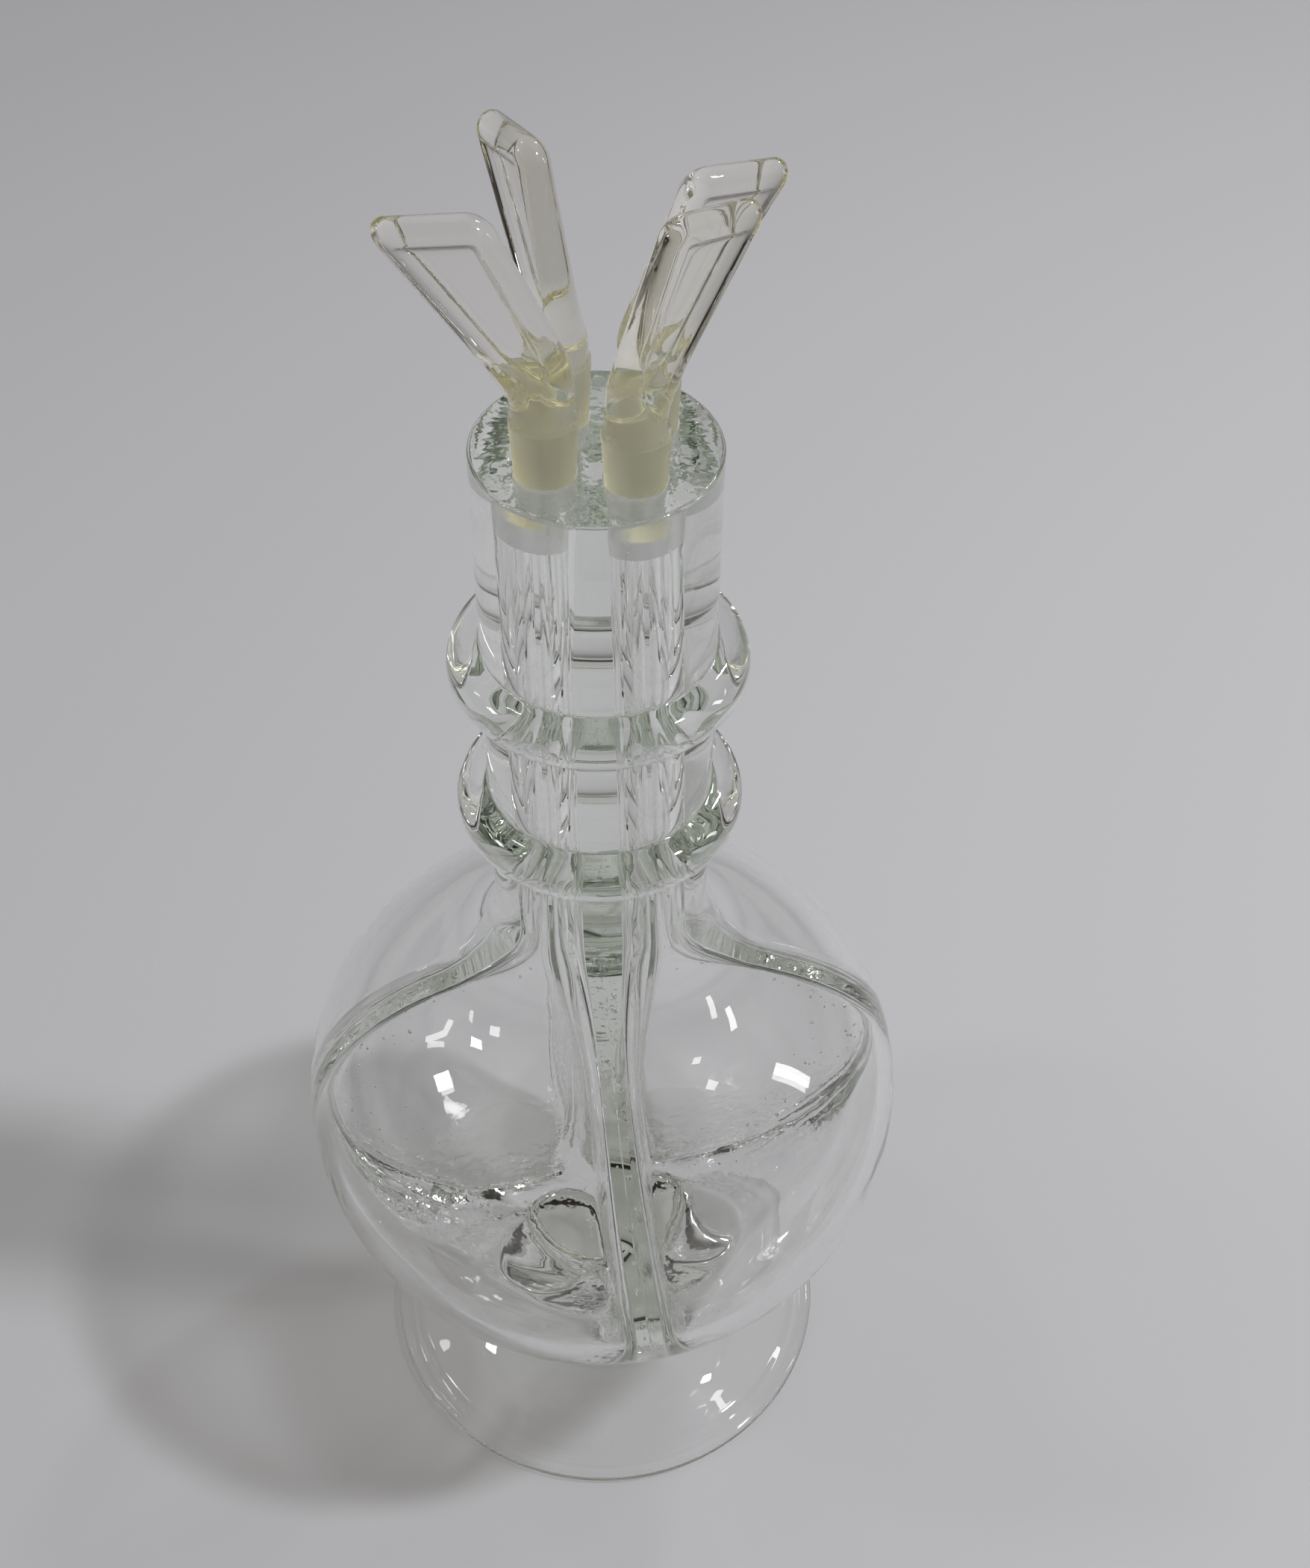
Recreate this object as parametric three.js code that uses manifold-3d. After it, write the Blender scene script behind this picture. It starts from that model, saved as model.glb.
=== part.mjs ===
// Four-chamber liquor decanter in clear blown glass, on a flared foot.
// The globe is four quarter-round bottles fused side by side, so that a cross-shaped web parts
// their chambers and twists on its way down. Each chamber has its own ground socket in the neck's
// flat top, and its own stopper: a ground plug, a clear shoulder and a flat grip that leans outwards.
// Millimetres, +Z up, origin at the centre of the foot's resting ring, front towards -Y.
import * as THREE from "three";
import { mergeVertices } from "three/addons/utils/BufferGeometryUtils.js";
import Module from "manifold-3d";

const degrees = THREE.MathUtils.degToRad;

// Foot
const FOOT_RADIUS = 59;
const FOOT_HEIGHT = 42.7; // table to the globe's seat
const FOOT_RIM_THICKNESS = 3.6;
const FOOT_RESTING_WIDTH = 5; // flat ring that touches the table
const FOOT_HOLLOW_DEPTH = 10; // of the hollow pressed up under the foot
const STEM_RADIUS = 18;

// Globe
const GLOBE_RADIUS = 72.3;
const GLOBE_UPPER_HALF = 52; // widest level to the top of its ellipse
const GLOBE_LOWER_HALF = 66; // widest level to the bottom of its ellipse
const SHOULDER_RADIUS = 30; // concave sweep from the neck into the globe

// Neck
const NECK_RADIUS = 23.6;
const NECK_REACH = 193.4; // globe's widest level to the neck's flat top
const NECK_BEVEL = 0.8;

// Collars, laid round the neck while hot
const COLLAR_HEIGHT = 11;
const COLLAR_DEPTH = 6.8;
const UPPER_COLLAR_DROP = 51.7; // neck's top to the collar's middle
const LOWER_COLLAR_DROP = 90.6;
const COLLAR_GAP = 0.3; // collar to neck

// Chambers and the web between them
const WEB_THICKNESS = 5.6;
const SEAM_GAP = 0.3; // between the quarters of the globe, down the middle of the web
const WALL = 4; // glass outside a chamber at the globe's widest level
const SHOULDER_WALL = 4.5;
const BASE_WALL = 4; // glass between the two ellipses below the widest level
const FLOOR_REACH = 42; // how far a chamber's flat floor reaches from the axis
const FLOOR_FILLET = 6; // between the floor and the web
const BORE_RADIUS = 5.4;
const CORNER_RADIUS = 7; // where the web meets the wall
const CHAMBER_SHOULDER_RADIUS = 34;
const WEB_TWIST = degrees(0.087); // turn of the web for each millimetre of height

// Ground sockets and stoppers
const SOCKET_DEPTH = 12;
const SOCKET_CLEARANCE = 0.3;
const PLUG_TOP_RADIUS = 6.25;
const PLUG_LENGTH = 18.6;
const PLUG_TAPER = 0.05; // radius lost for each millimetre of length
const PLUG_END_BEVEL = 0.5;
const STOPPER_SHOULDER_RADIUS = 5.7; // clear glass above the ground plug
const GRIP_THICKNESS = 6.4;
const GRIP_HEIGHT = 39.5; // plug's top to the inner top corner
const GRIP_OUTER_ROOT = 5.5; // plug's top to where the outer edge leaves the shoulder
const GRIP_INNER_ROOT = 10.5;
const GRIP_OUTER_LEAN = degrees(32);
const GRIP_INNER_LEAN = degrees(23);
const GRIP_TOP_FALL = degrees(6); // top edge falls outwards
const GRIP_CORNER_RADIUS = 4;
const GRIP_ROOT_SOFTNESS = 1.2;
const GRIP_FLATTENING_LENGTH = 11; // height over which the round shoulder turns flat

// quarter turn of its socket, height of its plug's top above the neck, grip's bearing and extra lean
const STOPPERS = [
  { side: "front_left", quarter: 2, stand: 11.3, bearing: degrees(183), lean: degrees(2.5) },
  { side: "front_right", quarter: 3, stand: 10, bearing: degrees(41), lean: degrees(-1) },
  { side: "back_right", quarter: 0, stand: 9.5, bearing: degrees(32), lean: degrees(1) },
  { side: "back_left", quarter: 1, stand: 12.5, bearing: degrees(128), lean: degrees(-2.5) },
];

// Facets: along a globe's side the steps below the widest level, above it and in the shoulder
const ROUND_SEGMENTS = 48;
const SECTION_POINTS = 24;
const GLOBE_STEPS = [9, 7, 5];
const CHAMBER_STEPS = [5, 5, 5];
const FLOOR_STEPS = 3; // round the fillet above a chamber's floor
const SEAM_STEPS = 3; // along each side of a quarter's outline
const BORE_STEPS = 5; // from the neck's foot to the sockets
const COLLAR_STEPS = 8;
const FOOT_STEPS = 8;
const HOLLOW_STEPS = 4;
const RIM_STEPS = 6;
const CAP_STEPS = 8; // round each end of a grip's section

const SQRT2 = Math.SQRT2;
const QUARTER = Math.PI / 2;
const ALONG = 1; // how far a cut runs past the face it opens

// Levels that the pieces share
const stemCut = STEM_RADIUS / GLOBE_RADIUS;
const globeLevel = FOOT_HEIGHT + GLOBE_LOWER_HALF * Math.sqrt(1 - stemCut ** 2);
const neckTop = globeLevel + NECK_REACH;
const neckFoot = neckTop - LOWER_COLLAR_DROP; // neck and globe join behind the lower collar
const socketEnd = neckTop - SOCKET_DEPTH;

const wasm = await Module();
wasm.setup();

// A closed geometry as a solid that can be joined and cut.
function solidOf(geometry) {
  const bare = geometry.clone();
  for (const name of Object.keys(bare.attributes)) if (name !== "position") bare.deleteAttribute(name);
  const merged = mergeVertices(bare, 1e-4);
  return new wasm.Manifold(
    new wasm.Mesh({
      numProp: 3,
      vertProperties: merged.attributes.position.array,
      triVerts: new Uint32Array(merged.index.array),
    }),
  );
}

// A solid as a geometry.
function geometryOf(solid) {
  const mesh = solid.getMesh();
  const geometry = new THREE.BufferGeometry();
  geometry.setAttribute("position", new THREE.BufferAttribute(mesh.vertProperties, 3));
  geometry.setIndex(new THREE.BufferAttribute(mesh.triVerts, 1));
  geometry.computeVertexNormals();
  return geometry;
}

// A revolve about Z of a profile of [radius, height] points that run anticlockwise, upwards outside.
function revolve(profile, segments = ROUND_SEGMENTS) {
  const geometry = new THREE.LatheGeometry(
    profile.map(([radius, height]) => new THREE.Vector2(radius, height)),
    segments,
  );
  return geometry.rotateX(QUARTER);
}

// A closed solid through rings of equally many points, the first and last ring filled by a fan.
function loft(rings) {
  const count = rings[0].length;
  const positions = rings.flat(2);
  const index = [];
  for (let level = 0; level + 1 < rings.length; level++) {
    for (let i = 0; i < count; i++) {
      const a = level * count + i;
      const b = level * count + ((i + 1) % count);
      index.push(a, b, b + count, a, b + count, a + count);
    }
  }
  const last = (rings.length - 1) * count;
  for (let i = 1; i + 1 < count; i++) {
    index.push(0, i + 1, i);
    index.push(last, last + i, last + i + 1);
  }
  const geometry = new THREE.BufferGeometry();
  geometry.setAttribute("position", new THREE.Float32BufferAttribute(positions, 3));
  geometry.setIndex(index);
  return geometry;
}

// The points of an arc about [x, y], both ends included.
function arc(x, y, radius, from, to, steps) {
  return Array.from({ length: steps + 1 }, (_, i) => {
    const angle = from + ((to - from) * i) / steps;
    return [x + radius * Math.cos(angle), y + radius * Math.sin(angle)];
  });
}

// [radius, height] points up a bottle's side: an ellipse with its own lower and upper half, then a
// concave arc that touches both the ellipse and the straight neck.
function bottleSide({ radius, lowerHalf, upperHalf, neckRadius, sweep, from, steps }) {
  const [lowerSteps, upperSteps, sweepSteps] = steps;
  // The neck's own line is reached where the sweep's centre lies one sweep radius outside it.
  const sweepCentre = (angle) => {
    const normal = Math.hypot(upperHalf * Math.cos(angle), radius * Math.sin(angle));
    return [
      radius * Math.cos(angle) + (sweep * upperHalf * Math.cos(angle)) / normal,
      globeLevel + upperHalf * Math.sin(angle) + (sweep * radius * Math.sin(angle)) / normal,
    ];
  };
  let [low, high] = [0, QUARTER];
  for (let i = 0; i < 50; i++) {
    const middle = (low + high) / 2;
    if (sweepCentre(middle)[0] > neckRadius + sweep) low = middle;
    else high = middle;
  }
  const [centreX, centreZ] = sweepCentre(low);
  const touchX = radius * Math.cos(low);
  const touchZ = globeLevel + upperHalf * Math.sin(low);
  const points = [];
  for (let i = 0; i < lowerSteps; i++) {
    const angle = Math.acos(from / radius) * (1 - i / lowerSteps);
    points.push([radius * Math.cos(angle), globeLevel - lowerHalf * Math.sin(angle)]);
  }
  for (let i = 0; i < upperSteps; i++) {
    const angle = (low * i) / upperSteps;
    points.push([radius * Math.cos(angle), globeLevel + upperHalf * Math.sin(angle)]);
  }
  const start = Math.atan2(touchZ - centreZ, touchX - centreX);
  return points.concat(arc(centreX, centreZ, sweep, start, -Math.PI, sweepSteps));
}

// Angle of the web at a height: straight through the sockets, twisting below them.
function webAngle(height) {
  return WEB_TWIST * Math.max(0, socketEnd - height);
}

// One chamber's outline where it reaches a given distance from the axis: a quarter circle less
// half the web on two sides, with rounded corners. In the neck it closes up into the round bore.
// Its points are spaced half by the length between them and half by how far the outline turns.
function chamberOutline(reach, halfWeb) {
  const corner = Math.min(CORNER_RADIUS, (reach - SQRT2 * halfWeb) / (1 + SQRT2));
  const inset = halfWeb + corner;
  const core = Math.max(reach - corner, SQRT2 * inset);
  const along = Math.sqrt(core ** 2 - inset ** 2);
  const tilt = Math.atan2(inset, along);
  const pieces = [
    [inset, inset, corner, -1.5 * QUARTER, -QUARTER],
    [along, inset, corner, -QUARTER, tilt],
    [0, 0, core + corner, tilt, QUARTER - tilt],
    [inset, along, corner, QUARTER - tilt, 2 * QUARTER],
    [inset, inset, corner, 2 * QUARTER, 2.5 * QUARTER],
  ];
  const steps = 16;
  const fine = pieces.flatMap(([x, y, radius, from, to]) =>
    arc(x, y, radius, from, to, steps).map((point) => ({ point, turn: (to - from) / steps })),
  );
  const lengths = fine.slice(1).map(({ point: [x, y] }, i) => {
    const [lastX, lastY] = fine[i].point;
    return Math.hypot(x - lastX, y - lastY);
  });
  const perimeter = lengths.reduce((sum, length) => sum + length, 0);
  const walked = [0];
  lengths.forEach((length, i) => {
    const turn = (i + 1) % (steps + 1) === 0 ? 0 : fine[i + 1].turn;
    walked.push(walked[i] + length / perimeter + turn / (4 * QUARTER));
  });
  const whole = walked[walked.length - 1];
  return Array.from({ length: SECTION_POINTS }, (_, i) => {
    const target = (whole * i) / SECTION_POINTS;
    let k = 0;
    while (walked[k + 1] <= target) k++;
    const share = (target - walked[k]) / (walked[k + 1] - walked[k]);
    const [ax, ay] = fine[k].point;
    const [bx, by] = fine[k + 1].point;
    return [ax + (bx - ax) * share, ay + (by - ay) * share];
  });
}

// An outline as a ring of points at a height, turned with the web and into its own quarter.
function turnedRing(outline, height, quarter) {
  const angle = webAngle(height) + quarter * QUARTER;
  const [cos, sin] = [Math.cos(angle), Math.sin(angle)];
  return outline.map(([x, y]) => [x * cos - y * sin, x * sin + y * cos, height]);
}

// Distance of a bore's axis from each web's middle, and of its far side from the neck's axis.
const boreOffset = WEB_THICKNESS / 2 + BORE_RADIUS;
const boreReach = SQRT2 * boreOffset + BORE_RADIUS;

// The bore's rings at the given heights.
function boreRings(heights, quarter) {
  const outline = chamberOutline(boreReach, WEB_THICKNESS / 2);
  return heights.map((height) => turnedRing(outline, height, quarter));
}

function chamberSolid(quarter) {
  const radius = GLOBE_RADIUS - WALL;
  const lowerHalf = GLOBE_LOWER_HALF - BASE_WALL;
  const reachAt = (height) => radius * Math.sqrt(1 - ((globeLevel - height) / lowerHalf) ** 2);
  const floorLevel = globeLevel - lowerHalf * Math.sqrt(1 - (FLOOR_REACH / radius) ** 2);
  const fillet = Array.from({ length: FLOOR_STEPS }, (_, i) => {
    const angle = (QUARTER * i) / FLOOR_STEPS;
    const height = floorLevel + FLOOR_FILLET * (1 - Math.cos(angle));
    const halfWeb = WEB_THICKNESS / 2 + FLOOR_FILLET * (1 - Math.sin(angle));
    return turnedRing(chamberOutline(reachAt(height), halfWeb), height, quarter);
  });
  const side = bottleSide({
    radius,
    lowerHalf,
    upperHalf: GLOBE_UPPER_HALF - SHOULDER_WALL,
    neckRadius: boreReach,
    sweep: CHAMBER_SHOULDER_RADIUS,
    from: reachAt(floorLevel + FLOOR_FILLET),
    steps: CHAMBER_STEPS,
  });
  const rings = side.map(([reach, height]) =>
    turnedRing(chamberOutline(reach, WEB_THICKNESS / 2), height, quarter),
  );
  return solidOf(loft([...fillet, ...rings, ...boreRings([neckFoot, neckFoot + ALONG], quarter)]));
}

// A quarter circle of the given radius, less half the seam's gap on its two straight sides.
function quarterOutline(radius) {
  const gap = SEAM_GAP / 2;
  const end = Math.sqrt(radius ** 2 - gap ** 2);
  const tilt = Math.asin(gap / radius);
  const across = Array.from({ length: SEAM_STEPS }, (_, i) => gap + ((end - gap) * i) / SEAM_STEPS);
  const round = arc(0, 0, radius, tilt, QUARTER - tilt, ROUND_SEGMENTS / 4);
  const back = across.slice(1).reverse();
  return [...across.map((x) => [x, gap]), ...round, ...back.map((y) => [gap, y])];
}

// One of the four fused bottles that make up the globe, with its chamber and its bore.
function bottleGeometry(quarter) {
  const side = bottleSide({
    radius: GLOBE_RADIUS,
    lowerHalf: GLOBE_LOWER_HALF,
    upperHalf: GLOBE_UPPER_HALF,
    neckRadius: NECK_RADIUS,
    sweep: SHOULDER_RADIUS,
    from: STEM_RADIUS,
    steps: GLOBE_STEPS,
  });
  side.push([NECK_RADIUS, neckFoot]);
  const rings = side.map(([radius, height]) => turnedRing(quarterOutline(radius), height, quarter));
  return geometryOf(solidOf(loft(rings)).subtract(chamberSolid(quarter)));
}

// Where a stopper's plug and its socket stand: on the bore's axis.
function socketPlace(quarter) {
  const angle = (quarter + 0.5) * QUARTER;
  return [SQRT2 * boreOffset * Math.cos(angle), SQRT2 * boreOffset * Math.sin(angle)];
}

const plugRadius = (belowTop) => PLUG_TOP_RADIUS - PLUG_TAPER * belowTop;

// The ground socket follows the plug that stands in it, one clearance wider.
function socketSolid({ quarter, stand }) {
  const [x, y] = socketPlace(quarter);
  const radiusAt = (depth) => plugRadius(stand + depth) + SOCKET_CLEARANCE;
  const cone = revolve(
    [
      [0, -SOCKET_DEPTH],
      [radiusAt(SOCKET_DEPTH), -SOCKET_DEPTH],
      [radiusAt(-ALONG), ALONG],
      [0, ALONG],
    ],
    SECTION_POINTS,
  );
  return solidOf(cone.translate(x, y, neckTop));
}

function neckGeometry() {
  const profile = [
    [0, neckFoot],
    [NECK_RADIUS, neckFoot],
    [NECK_RADIUS, neckTop - NECK_BEVEL],
    [NECK_RADIUS - NECK_BEVEL, neckTop],
    [0, neckTop],
  ];
  let solid = solidOf(revolve(profile));
  const between = Array.from(
    { length: BORE_STEPS + 1 },
    (_, i) => neckFoot + ((socketEnd - neckFoot) * i) / BORE_STEPS,
  );
  const heights = [neckFoot - ALONG, ...between, socketEnd + ALONG];
  for (let quarter = 0; quarter < 4; quarter++) {
    solid = solid.subtract(solidOf(loft(boreRings(heights, quarter))));
  }
  for (const stopper of STOPPERS) solid = solid.subtract(socketSolid(stopper));
  return geometryOf(solid);
}

// A half-round band with its flat side to the neck.
function collarGeometry(drop) {
  const middle = neckTop - drop;
  const inner = NECK_RADIUS + COLLAR_GAP;
  const depth = COLLAR_DEPTH - COLLAR_GAP;
  const half = arc(0, 0, 1, -QUARTER, QUARTER, COLLAR_STEPS).map(([out, up]) => [
    inner + depth * out,
    middle + (COLLAR_HEIGHT / 2) * up,
  ]);
  return revolve([...half, half[0]]);
}

// Solid stem and flared foot, hollowed underneath, thinnest at its rounded rim.
function footGeometry() {
  const rim = FOOT_RIM_THICKNESS / 2;
  const hollowEdge = FOOT_RADIUS - rim - FOOT_RESTING_WIDTH;
  // A quarter ellipse that runs out level at the rim and stands upright at the stem.
  const sweepHeight = FOOT_HEIGHT - FOOT_RIM_THICKNESS;
  const sweepWidth = FOOT_RADIUS - rim - STEM_RADIUS;
  const top = arc(0, 0, 1, 0, QUARTER, FOOT_STEPS).map(([down, inwards]) => [
    FOOT_RADIUS - rim - sweepWidth * inwards,
    FOOT_HEIGHT - sweepHeight * down,
  ]);
  const hollow = Array.from({ length: HOLLOW_STEPS + 1 }, (_, i) => {
    const angle = (QUARTER * i) / HOLLOW_STEPS;
    return [hollowEdge * Math.sin(angle), FOOT_HOLLOW_DEPTH * Math.cos(angle) ** 2];
  });
  const edge = arc(FOOT_RADIUS - rim, rim, rim, -QUARTER, QUARTER, RIM_STEPS);
  return revolve([...hollow, ...edge, ...top.slice(1), [0, FOOT_HEIGHT]]);
}

// max(0, x) with its corner rounded off over about the given width.
const softRamp = (x, width) => width * Math.log1p(Math.exp(x / width));

// A flat-sided outline with round ends: half its length, half its thickness.
function slabOutline(halfLength, halfThickness) {
  const shift = halfLength - halfThickness;
  return [
    ...arc(shift, 0, halfThickness, -QUARTER, QUARTER, CAP_STEPS),
    ...arc(-shift, 0, halfThickness, QUARTER, 3 * QUARTER, CAP_STEPS),
  ];
}

// A stopper with its plug's top at the origin and its grip leaning towards +X. Every level section
// is a slab with round ends: a circle up to the shoulder, longer and flatter through the grip.
function stopperGeometry(extraLean) {
  const outerSlope = Math.tan(GRIP_OUTER_LEAN + extraLean);
  const innerSlope = Math.tan(GRIP_INNER_LEAN + extraLean);
  const smooth = (x) => x * x * (3 - 2 * x);
  const clamp = (x) => Math.min(1, Math.max(0, x));
  const roundOff = (z, radius) => {
    const over = clamp((z - GRIP_HEIGHT + radius) / radius);
    return radius * (1 - Math.sqrt(1 - over ** 2));
  };
  const section = (z) => {
    const flat = smooth(clamp((z - GRIP_OUTER_ROOT / 2) / GRIP_FLATTENING_LENGTH));
    const shoulder = STOPPER_SHOULDER_RADIUS;
    const cornerCut = roundOff(z, GRIP_CORNER_RADIUS);
    const outer = shoulder + outerSlope * softRamp(z - GRIP_OUTER_ROOT, GRIP_ROOT_SOFTNESS) - cornerCut;
    const inner = -shoulder + innerSlope * softRamp(z - GRIP_INNER_ROOT, GRIP_ROOT_SOFTNESS) + cornerCut;
    const halfThickness =
      shoulder + (GRIP_THICKNESS / 2 - shoulder) * flat - roundOff(z, GRIP_THICKNESS / 2);
    const centre = (outer + inner) / 2;
    const fall = Math.tan(GRIP_TOP_FALL) * clamp(z / GRIP_HEIGHT);
    return slabOutline((outer - inner) / 2, halfThickness).map(([x, y]) => [
      centre + x,
      y,
      z - fall * (centre + x - inner),
    ]);
  };
  const round = (radius, z) => slabOutline(radius, radius).map(([x, y]) => [x, y, z]);
  const plugEnd = plugRadius(PLUG_LENGTH);
  const shoulderLevels = [0.12, 0.3, 0.5, 0.75, 1].map((share) => share * GRIP_INNER_ROOT);
  const gripLevels = [0.2, 0.5, 0.85].map(
    (share) => GRIP_INNER_ROOT + share * (GRIP_HEIGHT - GRIP_INNER_ROOT - GRIP_CORNER_RADIUS),
  );
  const topLevels = [0.02, 0.4, 0.7, 0.9, 0.99].map(
    (share) => GRIP_HEIGHT - GRIP_CORNER_RADIUS * (1 - share),
  );
  return loft([
    round(plugEnd - PLUG_END_BEVEL, -PLUG_LENGTH),
    round(plugEnd, -PLUG_LENGTH + PLUG_END_BEVEL),
    round(PLUG_TOP_RADIUS, 0),
    ...[...shoulderLevels, ...gripLevels, ...topLevels].map(section),
  ]);
}

const clearGlass = { color: "#dde6e1", roughness: 0.04, metalness: 0, transparent: true, opacity: 0.45 };
const strawGlass = { color: "#e6dcb6", roughness: 0.08, metalness: 0, transparent: true, opacity: 0.6 };

function addPiece(group, name, geometry, finish) {
  const mesh = new THREE.Mesh(geometry, new THREE.MeshStandardMaterial(finish));
  mesh.name = name;
  group.add(mesh);
  return mesh;
}

const decanter = new THREE.Group();
addPiece(decanter, "foot", footGeometry(), clearGlass);
addPiece(decanter, "neck", neckGeometry(), clearGlass);
addPiece(decanter, "upper_collar", collarGeometry(UPPER_COLLAR_DROP), clearGlass);
addPiece(decanter, "lower_collar", collarGeometry(LOWER_COLLAR_DROP), clearGlass);

for (const stopper of STOPPERS) {
  addPiece(decanter, `bottle_${stopper.side}`, bottleGeometry(stopper.quarter), clearGlass);
  const seat = new THREE.Group();
  const [x, y] = socketPlace(stopper.quarter);
  seat.position.set(x, y, neckTop + stopper.stand);
  seat.rotation.z = stopper.bearing;
  addPiece(seat, `stopper_${stopper.side}`, stopperGeometry(stopper.lean), strawGlass);
  decanter.add(seat);
}

export default decanter;
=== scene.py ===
"""A four-chamber liquor decanter in clear blown glass on a flared foot, with its four stoppers.

Metres, +Z up, origin at the centre of the foot's resting ring, front towards -Y. The foot, the four
quarter bottles of the globe, the neck and the collars are one piece of fused glass with four chambers
inside it and small bubbles caught along its seams. Each stopper is a solid piece of straw-tinted
glass: a ground plug, a clear shoulder and a flat grip that leans outwards.
"""

import math

import bpy
import numpy as np
from mathutils import Matrix, Vector
from mathutils.geometry import delaunay_2d_cdt


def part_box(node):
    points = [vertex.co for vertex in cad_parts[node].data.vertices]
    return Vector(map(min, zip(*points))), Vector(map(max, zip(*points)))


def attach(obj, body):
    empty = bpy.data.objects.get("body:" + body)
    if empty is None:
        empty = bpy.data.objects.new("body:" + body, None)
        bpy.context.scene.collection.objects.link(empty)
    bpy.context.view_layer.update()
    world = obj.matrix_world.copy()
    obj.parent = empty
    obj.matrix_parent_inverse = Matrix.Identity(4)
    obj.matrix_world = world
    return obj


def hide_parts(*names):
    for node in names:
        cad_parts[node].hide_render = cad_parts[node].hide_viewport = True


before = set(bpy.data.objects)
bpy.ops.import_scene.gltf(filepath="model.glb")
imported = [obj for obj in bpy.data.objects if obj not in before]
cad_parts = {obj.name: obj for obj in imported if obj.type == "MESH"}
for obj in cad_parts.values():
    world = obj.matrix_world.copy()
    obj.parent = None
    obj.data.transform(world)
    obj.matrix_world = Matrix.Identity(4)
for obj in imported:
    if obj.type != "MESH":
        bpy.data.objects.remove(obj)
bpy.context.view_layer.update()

MM = 0.001
QUARTER = math.pi / 2
SQRT2 = math.sqrt(2)

# Camera, fitted to the ellipses of the neck's top, the collars and the foot
PHOTO_WIDTH, PHOTO_HEIGHT = 1755, 2100
FOCAL_LENGTH_PX = 2738
CAMERA_DISTANCE = 298.5 * MM  # from the decanter's axis, measured level
CAMERA_HEIGHT = 527.4 * MM
CAMERA_BEARING = math.radians(8.1)  # round the axis from the front
CAMERA_PITCH = math.radians(46.69)
CAMERA_YAW = math.radians(2.25)
CAMERA_ROLL = math.radians(1.04)
SENSOR_MM = 36

# Sizes read from the frame
FOOT_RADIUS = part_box("foot")[1].x
FOOT_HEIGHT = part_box("foot")[1].z
GLOBE_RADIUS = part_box("bottle_front_right")[1].x
NECK_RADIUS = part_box("neck")[1].x
NECK_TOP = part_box("neck")[1].z
COLLARS = [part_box("lower_collar"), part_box("upper_collar")]

# Foot
FOOT_RIM_THICKNESS = 3.6 * MM
FOOT_RESTING_WIDTH = 5 * MM
FOOT_HOLLOW_DEPTH = 10 * MM
FOOT_GROOVE_INSET = 4.6 * MM  # from the edge, to a shallow groove that leaves a bead round the rim
FOOT_GROOVE_DEPTH = 1.5 * MM
FOOT_GROOVE_WIDTH = 1.5 * MM
STEM_RADIUS = 18 * MM

# Globe and neck
GLOBE_UPPER_HALF = 52 * MM
GLOBE_LOWER_HALF = 66 * MM
SHOULDER_RADIUS = 30 * MM
NECK_BEVEL = 0.8 * MM
FIRE_POLISH = 0.5 * MM  # how far heat has rounded every corner
STEM_FILLET = 3.5 * MM
STEM_FILLET_REACH = 3 * STEM_FILLET  # how far it holds from where the stem meets the globe
GLOBE_LEVEL = FOOT_HEIGHT + GLOBE_LOWER_HALF * math.sqrt(1 - (STEM_RADIUS / GLOBE_RADIUS) ** 2)

# Chambers and the web between them
WEB_THICKNESS = 5.6 * MM
WALL = 4 * MM
SHOULDER_WALL = 4.5 * MM
BASE_WALL = 4 * MM
FLOOR_REACH = 42 * MM
FLOOR_FILLET = 7 * MM  # between a chamber's floor and the web
WALL_FILLET = 7 * MM  # between a chamber's floor and its outer wall
BORE_RADIUS = 5.4 * MM
CORNER_RADIUS = 7 * MM  # beside the axis
SEAM_CORNER_RADIUS = 3 * MM  # beside the seams, except where the chamber is narrow
SEAM_CORNER_REACH = 16 * MM  # over which the bore's own radius gives way to it
LOW_CORNER_RADIUS = 14 * MM  # a blown bottle is rounder towards its floor
LOW_CORNER_HEIGHT = 42 * MM  # above the floor, where the corners start to grow rounder
CHAMBER_SHOULDER_RADIUS = 34 * MM
WEB_TWIST = math.radians(0.087) / MM
BORE_OFFSET = WEB_THICKNESS / 2 + BORE_RADIUS
BORE_REACH = SQRT2 * BORE_OFFSET + BORE_RADIUS

# Ground sockets and stoppers
SOCKET_DEPTH = 12 * MM
SOCKET_CLEARANCE = 0.3 * MM
SOCKET_END = NECK_TOP - SOCKET_DEPTH
PLUG_TOP_RADIUS = 6.25 * MM
PLUG_LENGTH = 18.6 * MM
PLUG_TAPER = 0.05
PLUG_END_BEVEL = 0.5 * MM
SHOULDER_OF_STOPPER = 5.7 * MM
SHOULDER_EASE = 1.6 * MM  # height over which the plug narrows to the shoulder
GRIP_THICKNESS = 6.4 * MM
GRIP_HEIGHT = 39.5 * MM
GRIP_OUTER_ROOT = 5.5 * MM
GRIP_INNER_ROOT = 10.5 * MM
GRIP_OUTER_LEAN = math.radians(32)
GRIP_INNER_LEAN = math.radians(23)
GRIP_TOP_FALL = math.radians(6)
GRIP_CORNER_RADIUS = 4 * MM
GRIP_ROOT_SOFTNESS = 1.2 * MM
GRIP_FLATTENING_LENGTH = 11 * MM
GRIP_FACE_DEPTH = 0.8 * MM  # how far tongs have pinched each face in, within its thicker edge
GRIP_FACE_SLOPE = 1.2 * MM  # width of the step down to the face

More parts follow.
